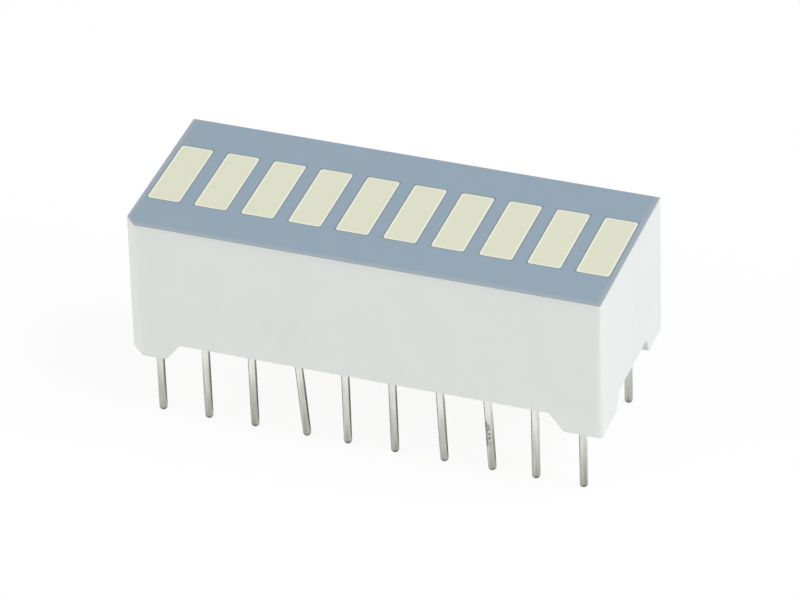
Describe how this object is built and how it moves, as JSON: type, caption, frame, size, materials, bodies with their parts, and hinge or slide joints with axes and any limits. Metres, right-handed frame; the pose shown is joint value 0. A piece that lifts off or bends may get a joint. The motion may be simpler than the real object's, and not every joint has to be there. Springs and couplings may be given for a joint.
{
  "type": "led bar graph",
  "caption": "LED bar graph display for a circuit board: white moulded housing on corner feet, grey face over a row of cream windows, and round tinned pins in dual in-line rows.",
  "frame": {"origin": "centre of the pin grid, on the plane that the feet stand on", "axes": "+X along the row of segments, away from the chamfered end; -Y towards the row that starts at pin 1; +Z out of the display face"},
  "size_m": [0.0255, 0.0102, 0.0122],
  "materials": {
    "housing_plastic": "satin, moulded white",
    "face_ink": "matt grey coating",
    "segment_epoxy": "diffused cream epoxy, satin",
    "board_laminate": "bare laminate",
    "copper_foil": "bare copper",
    "solder": "bright solder",
    "die_crystal": "sawn crystal",
    "bond_gold": "drawn gold wire",
    "pin_tin": "dull tinned wire",
    "fill_epoxy": "cast epoxy"
  },
  "bodies": {
    "root": {"housing": "housing_plastic", "face_coating": "face_ink", "segment_01": "segment_epoxy", "segment_02": "segment_epoxy", "segment_03": "segment_epoxy", "segment_04": "segment_epoxy", "segment_05": "segment_epoxy", "segment_06": "segment_epoxy", "segment_07": "segment_epoxy", "segment_08": "segment_epoxy", "segment_09": "segment_epoxy", "segment_10": "segment_epoxy", "circuit_board": "board_laminate", "copper_traces": "copper_foil", "solder_joints": "solder", "led_die_01": "die_crystal", "led_die_02": "die_crystal", "led_die_03": "die_crystal", "led_die_04": "die_crystal", "led_die_05": "die_crystal", "led_die_06": "die_crystal", "led_die_07": "die_crystal", "led_die_08": "die_crystal", "led_die_09": "die_crystal", "led_die_10": "die_crystal", "bond_wire_01": "bond_gold", "bond_wire_02": "bond_gold", "bond_wire_03": "bond_gold", "bond_wire_04": "bond_gold", "bond_wire_05": "bond_gold", "bond_wire_06": "bond_gold", "bond_wire_07": "bond_gold", "bond_wire_08": "bond_gold", "bond_wire_09": "bond_gold", "bond_wire_10": "bond_gold", "pin_01": "pin_tin", "pin_02": "pin_tin", "pin_03": "pin_tin", "pin_04": "pin_tin", "pin_05": "pin_tin", "pin_06": "pin_tin", "pin_07": "pin_tin", "pin_08": "pin_tin", "pin_09": "pin_tin", "pin_10": "pin_tin", "pin_11": "pin_tin", "pin_12": "pin_tin", "pin_13": "pin_tin", "pin_14": "pin_tin", "pin_15": "pin_tin", "pin_16": "pin_tin", "pin_17": "pin_tin", "pin_18": "pin_tin", "pin_19": "pin_tin", "pin_20": "pin_tin", "back_fill": "fill_epoxy"}
  },
  "joints": []
}
